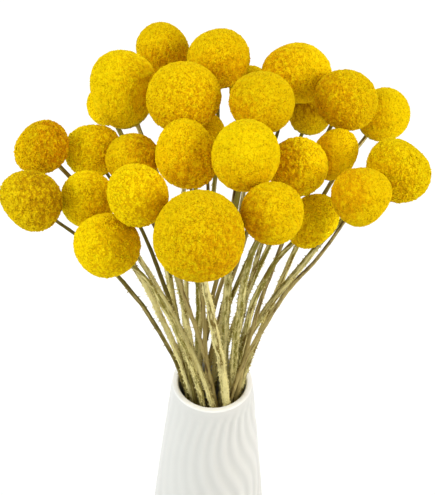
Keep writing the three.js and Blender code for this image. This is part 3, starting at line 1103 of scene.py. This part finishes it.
@dataclass
class RibbedVase:
    """A slender bottle, turned from one outline, with upright ribs that sway to one side."""

    height: float = 210 * MM
    rim_radius: float = 22.3 * MM
    belly_radius: float = 36.5 * MM
    belly_height: float = 48 * MM
    foot_radius: float = 29 * MM
    neck_ease: float = 1.12
    wall: float = 3.55 * MM
    floor: float = 6 * MM
    floor_fillet: float = 5 * MM
    lip: float = 1.1 * MM
    foot_edge: float = 1.5 * MM
    ribs: float = 24.0
    columns: int = 240
    relief: float = 0.42 * MM
    calm_relief: float = 0.2
    rib_start: float = 8 * MM
    rib_end: float = 206 * MM
    rib_fade: float = 8 * MM
    wave_length: float = 115 * MM
    wave_reach: float = 6 * MM
    wave_start: float = -2.7
    wave_calm: float = 0.1
    wavy_side: float = math.radians(-40)
    levels: int = 60
    inner_levels: int = 24
    edge_steps: int = 4
    lip_start: float = 1.3 * MM
    lip_full: float = 0.3 * MM

    def outside(self, height: float) -> float:
        """The outside radius at a height, before the ribs."""
        if height < self.belly_height:
            fall = 1 - height / self.belly_height
            rise = math.sqrt(1 - fall * fall)
            return self.foot_radius + (self.belly_radius - self.foot_radius) * rise
        climb = (height - self.belly_height) / (self.height - self.belly_height)
        return self.belly_radius - (self.belly_radius - self.rim_radius) * climb**self.neck_ease

    def outline(self) -> Outline:
        """The wall's outline, from the middle of the foot, over the lip, to the inner floor."""
        edge, high = self.foot_edge, self.height - self.lip
        corner = self.floor + self.floor_fillet
        outer = np.linspace(edge, high, self.levels + 1)[1:]
        inner = np.linspace(high, corner, self.inner_levels + 1)[:-1]
        side = self.outside(corner) - self.wall - self.floor_fillet
        rim, quarter = self.outside(high), self.edge_steps
        return [
            (0.0, 0.0),
            (self.foot_radius - edge, 0.0),
            *self._arc(self.outside(edge) - edge, edge, edge, 1 - quarter, 0),
            *((self.outside(height), height) for height in outer),
            *self._arc(rim - self.lip, high, self.lip, 1, quarter),
            *self._arc(rim - self.wall + self.lip, high, self.lip, quarter, 2 * quarter - 1),
            *((self.outside(height) - self.wall, height) for height in inner),
            *self._arc(side, corner, self.floor_fillet, 0, -quarter),
            (0.0, self.floor),
        ]

    def _arc(self, out: float, up: float, radius: float, first: int, last: int) -> Outline:
        """Points on an arc round a centre, from one of its steps to another."""
        way = 1 if last > first else -1
        angles = [step / self.edge_steps * math.pi / 2 for step in range(first, last + way, way)]
        return [(out + radius * math.cos(turn), up + radius * math.sin(turn)) for turn in angles]

    def build(self, material: bpy.types.Material) -> bpy.types.Object:
        """Turns the vase and sways its ribs.

        Args:
            material: Its glaze.

        Returns:
            The finished vase.
        """
        sizes = sizes_of(self, RIB_SIZES) | {"Material": material}
        return self._tree().grow("ribbed_vase", self._turned(), sizes)

    def _turned(self) -> bpy.types.Mesh:
        """The plain wall, closed at the middle of its foot and of its inner floor."""
        outline = self.outline()
        shell = bmesh.new()
        rings = []
        for radius, height in outline:
            ring = []
            for column in range(self.columns if radius else 1):
                angle = column / self.columns * math.tau - math.pi / 2
                place = (radius * math.cos(angle), radius * math.sin(angle), height)
                ring.append(shell.verts.new(place))
            rings.append(ring)
        for low, high in zip(rings, rings[1:], strict=False):
            for here in range(self.columns):
                there = (here + 1) % self.columns
                corners = [low[here % len(low)], low[there % len(low)]]
                corners += [high[there % len(high)], high[here % len(high)]]
                shell.faces.new(list(dict.fromkeys(corners)))
        bmesh.ops.recalc_face_normals(shell, faces=shell.faces)
        mesh = bpy.data.meshes.new("vase_wall")
        shell.to_mesh(mesh)
        shell.free()
        outside = mesh.attributes.new("outside", "FLOAT", "POINT")
        wall = next(i for i, point in enumerate(outline) if point[1] > self.rib_end)
        share = [0.0 if len(rings[i]) == 1 or i > wall else 1.0 for i in range(len(rings))]
        values = [share[i] for i in range(len(rings)) for _ in rings[i]]
        outside.data.foreach_set("value", values)
        return mesh

    def _tree(self) -> ShapeTree:
        """The tree that raises the ribs on the outside and sweeps them round the vase."""
        tree = ShapeTree("vase_ribs", "Wall", Float=RIB_SIZES, Material="Material")
        place = tree.place()
        across = tree.node("ShaderNodeSeparateXYZ", {0: place}, "X")
        inward, height = across.beside("Y"), across.beside("Z")
        radius = (across * across + inward * inward).root()
        angle = inward.bearing(across)
        facing = ((angle - self.wavy_side).cosine() + 1) * 0.5
        reach = tree.given("Wave Reach") * (facing * (1 - self.wave_calm) + self.wave_calm)
        turns = (self.height - height) / tree.given("Wave Length") * math.tau
        sway = reach * (turns + self.wave_start + angle - self.wavy_side).sine() / radius
        above = ((height - tree.given("Rib Start")) / tree.given("Rib Fade")).between(0.0, 1.0)
        under = ((tree.given("Rib End") - height) / tree.given("Rib Fade")).between(0.0, 1.0)
        strength = above.least(under) * tree.attribute("outside")
        source = angle - strength * sway + math.pi / 2
        wave = (source * tree.given("Ribs")).cosine()
        bold = facing * facing * facing * facing
        bold = bold * (1 - self.calm_relief) + self.calm_relief
        # How high each point stands on its rib, which the glaze turns into painted shade in the grooves.
        shape = tree.store(tree.given("Wall"), "ridge", wave * strength * bold * 0.5 + 0.5)
        # The lip band, which the glaze makes paler as a painted highlight.
        lip = height.between(self.height - self.lip_start, self.height - self.lip_full)
        shape = tree.store(shape, "lip", lip)
        lift = strength * tree.given("Relief") * bold * wave / radius
        offset = tree.vector("MULTIPLY", place, tree.combine(lift, lift))
        tree.close(tree.shift(shape, offset))
        return tree


# The studio.


@dataclass(frozen=True)
class Softbox:
    """A square area light that faces the bunch.

    Attributes:
        name: Its name.
        azimuth: Where it stands, in degrees from the front towards the right.
        elevation: How high it stands, in degrees.
        watts: Its power.
        side: Its width in metres.
        colour: The tint of its light.
        distance: How far off it stands, in metres.
        aim: What it faces.
    """

    name: str
    azimuth: float
    elevation: float
    watts: float
    side: float = 0.9
    colour: Colour = (1.0, 1.0, 1.0)
    distance: float = 1.5
    aim: Direction = (0.0, 52 * MM, 262 * MM)

    def place(self) -> None:
        """Stands the light."""
        data = bpy.data.lights.new(self.name, "AREA")
        data.size = self.side
        data.energy = self.watts
        data.color = self.colour
        lamp = add_object(self.name, data)
        across, up = math.radians(self.azimuth), math.radians(self.elevation)
        away = Vector(
            (math.sin(across) * math.cos(up), -math.cos(across) * math.cos(up), math.sin(up))
        )
        lamp.location = Vector(self.aim) + away * self.distance
        lamp.rotation_euler = away.to_track_quat("Z", "Y").to_euler()


@dataclass(frozen=True)
class Studio:
    """The floor, the soft light and the camera of the front view."""

    target: Direction = (0.31 * MM, 52.3 * MM, 262.3 * MM)
    camera_distance: float = 900 * MM
    camera_elevation: float = math.radians(45)
    camera_roll: float = math.radians(2)
    focal_pixels: float = 1620
    picture_height: float = 495
    sensor: float = 36
    floor_side: float = 6
    daylight: float = 0.3
    lights: tuple[Softbox, ...] = (
        Softbox("left_softbox", -64, 30, 13.8, colour=(0.96, 1.0, 0.99)),
        Softbox("right_softbox", 66, 30, 14.5, colour=(1.0, 0.975, 0.9)),
        Softbox("front_softbox", 0, 50, 2.5, colour=(1.0, 0.99, 0.93)),
        Softbox("top_softbox", 180, 65, 5.5),
        Softbox("back_softbox", 180, 28, 16, distance=1.8, aim=(0.0, 0.5, 0.0)),
    )

    def build(self) -> None:
        """Makes the whole studio."""
        self._floor()
        for light in self.lights:
            light.place()
        world = bpy.data.worlds.new("pale_room")
        world.use_nodes = True
        sky = world.node_tree.nodes["Background"]
        sky.inputs["Color"].default_value = (1, 1, 1, 1)
        sky.inputs["Strength"].default_value = self.daylight
        bpy.context.scene.world = world
        bpy.context.scene.view_settings.view_transform = "Standard"
        self._camera()

    def _floor(self) -> None:
        """Lays the pale floor."""
        half = self.floor_side / 2
        mesh = bpy.data.meshes.new("floor")
        corners = [(-half, -half, 0), (half, -half, 0), (half, half, 0), (-half, half, 0)]
        mesh.from_pydata(corners, [], [(0, 1, 2, 3)])
        mesh.materials.append(FloorFinish("pale_floor").material())
        add_object("floor", mesh)

    def _camera(self) -> None:
        """Stands the camera where the photograph was taken from."""
        data = bpy.data.cameras.new("front_camera")
        data.sensor_width = self.sensor
        data.lens = self.focal_pixels / self.picture_height * self.sensor
        data.clip_end = 20
        camera = add_object("front_camera", data)
        up = self.camera_elevation
        away = Vector((0, -math.cos(up), math.sin(up)))
        place = Vector(self.target) + away * self.camera_distance
        tilt = Matrix.Rotation(math.pi / 2 - up, 4, "X") @ Matrix.Rotation(self.camera_roll, 4, "Z")
        camera.matrix_world = Matrix.Translation(place) @ tilt
        bpy.context.scene.camera = camera


# The bunch.


@dataclass
class Bunch:
    """All the blooms, each a head with its stalk, in the order of the CAD nodes."""

    looks: tuple[HeadLook, ...]
    mouth: float

    def build(self, frame: Mapping[str, Any], report: Callable[..., None]) -> None:
        """Grows every bloom.

        Args:
            frame: The loaded frame.
            report: Is told of each piece, with the node that it stands for and its slot.
        """
        slots = {row["node"]: row["material_slot"] for row in frame["record"]["subparts"]}
        heads = {tone: tone.value.material() for tone in Tone}
        stalks = {kind: kind.value.material() for kind in Stalk}
        florets, wool = Florets(), Wool()
        for number, look in enumerate(self.looks, 1):
            kind = next(k for k in Stalk if k.value.name == slots[f"stem_{number:02d}"])
            stalk = FlowerStalk(number, kind)
            stalk.measure(frame)
            head = FlowerHead(number, look)
            crown = head.build(frame, florets, stalk.line[0], heads[look.tone])
            report(crown, head.node, slots[head.node])
            stem = stalk.build(wool, self.mouth, stalks[kind])
            report(stem, stalk.node, slots[stalk.node])


# The blooms' looks, in the order of the CAD nodes. Their riper sides carry painted shade, and the
# lightness and lit side of heads that their neighbours shade are painted light.
LOOKS = (
    HeadLook(Tone.YELLOW, seen(0.2, -0.9, 0.3), light=0.9),
    HeadLook(Tone.YELLOW, seen(0.1, -0.9, 0.3), rough=0.8, light=0.92),
    HeadLook(Tone.LEMON, seen(0.7, 0.0, 0.4), Grain.FINE, light=0.95),
    HeadLook(
        Tone.YELLOW, seen(0.4, -0.6, 0.0), pits=seen(0.1, -0.6, 0.8), pit_share=0.2, rough=1.25,
        light=0.96,
    ),
    HeadLook(Tone.YELLOW, seen(-0.8, 0.1, 0.4), light=0.97, glow=0.4),
    HeadLook(Tone.YELLOW, seen(-0.6, -0.4, 0.2), Grain.FINE, light=0.86, glow=0.05),
    HeadLook(Tone.YELLOW, seen(-0.9, -0.2, 0.5), Grain.OPEN, light=0.92),
    HeadLook(Tone.LEMON, seen(-0.9, -0.4, 0.4), Grain.FINE, rough=0.7, light=0.96),
    HeadLook(Tone.LEMON, seen(-1.0, 0.0, 0.3), light=0.96, glow=0.25),
    HeadLook(Tone.OLIVE, seen(-0.5, 0.3, 0.5)),
    HeadLook(Tone.ORANGE, seen(1.1, 0.2, 0.5), Grain.OPEN, light=0.82, glow=0.14),
    HeadLook(
        Tone.LEMON, seen(1.5, 0.5, 0.2), Grain.OPEN, pits=seen(0.6, -0.1, 0.8), rough=1.2,
        light=1.05, glow=0.5,
    ),
    HeadLook(Tone.YELLOW, seen(1.0, 0.5, 0.4), rough=1.2, light=0.92),
    HeadLook(Tone.YELLOW, seen(0.6, -0.8, 0.3), light=1.03),
    HeadLook(Tone.LEMON, seen(0.0, -0.7, 0.1), Grain.FINE, rough=0.8, light=0.95),
    HeadLook(Tone.YELLOW, seen(-1.3, -0.3, 0.5), Grain.OPEN, pit_share=0.15, rough=1.5, glow=0.35),
    HeadLook(Tone.YELLOW, seen(-1.1, -0.2, 0.4), Grain.FINE, rough=0.7, light=0.97, glow=0.4),
    HeadLook(Tone.LEMON, seen(-0.6, -0.5, 0.6), Grain.OPEN, light=0.93),
    HeadLook(Tone.YELLOW, seen(-1.2, 0.3, 0.5), Grain.FINE, rough=0.7, light=0.92),
    HeadLook(Tone.OLIVE, seen(0.9, 0.4, 0.6), Grain.OPEN, pit_share=0.15, rough=1.3, light=0.95),
    HeadLook(Tone.LEMON, seen(0.7, 0.1, 0.3), light=1.08, glow=0.9),
    HeadLook(Tone.LEMON, seen(0.9, 0.1, 0.3), pits=seen(0.3, -0.6, 0.8), pit_share=0.3, rough=1.3),
    HeadLook(Tone.LEMON, seen(0.9, 0.3, 0.4), pits=seen(0.5, -0.5, 0.8), pit_share=0.3, light=1.03),
    HeadLook(Tone.YELLOW, seen(0.5, -0.5, 0.4), light=0.9),
    HeadLook(Tone.YELLOW, seen(-1.0, -0.3, 0.3), light=0.95),
    HeadLook(Tone.LEMON, seen(-0.7, -0.7, 0.3), Grain.OPEN, rough=1.2, light=1.04, glow=0.7),
    HeadLook(Tone.YELLOW),
    HeadLook(Tone.LEMON),
    HeadLook(Tone.YELLOW),
)


def main() -> None:
    """Builds the vase, the bunch and the studio round the frame."""
    logging.basicConfig(level=logging.INFO, format="%(message)s")
    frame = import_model()

    def report(piece: bpy.types.Object, node: str, slot: str) -> None:
        """Hands a finished piece to the frame.

        Args:
            piece: The piece.
            node: The CAD node that it stands for.
            slot: The material slot that it takes its finish from. It is not used.
        """
        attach(piece, BODY)
        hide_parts(node)
        LOG.info("%s stands for %s: %d faces", piece.name, node, len(piece.data.polygons))

    vase = RibbedVase()
    report(vase.build(GlazeFinish("glaze").material()), "vase", "glaze")
    Bunch(LOOKS, vase.height - MOUTH_DEPTH).build(frame, report)
    Studio().build()


if __name__ == "__main__":
    main()
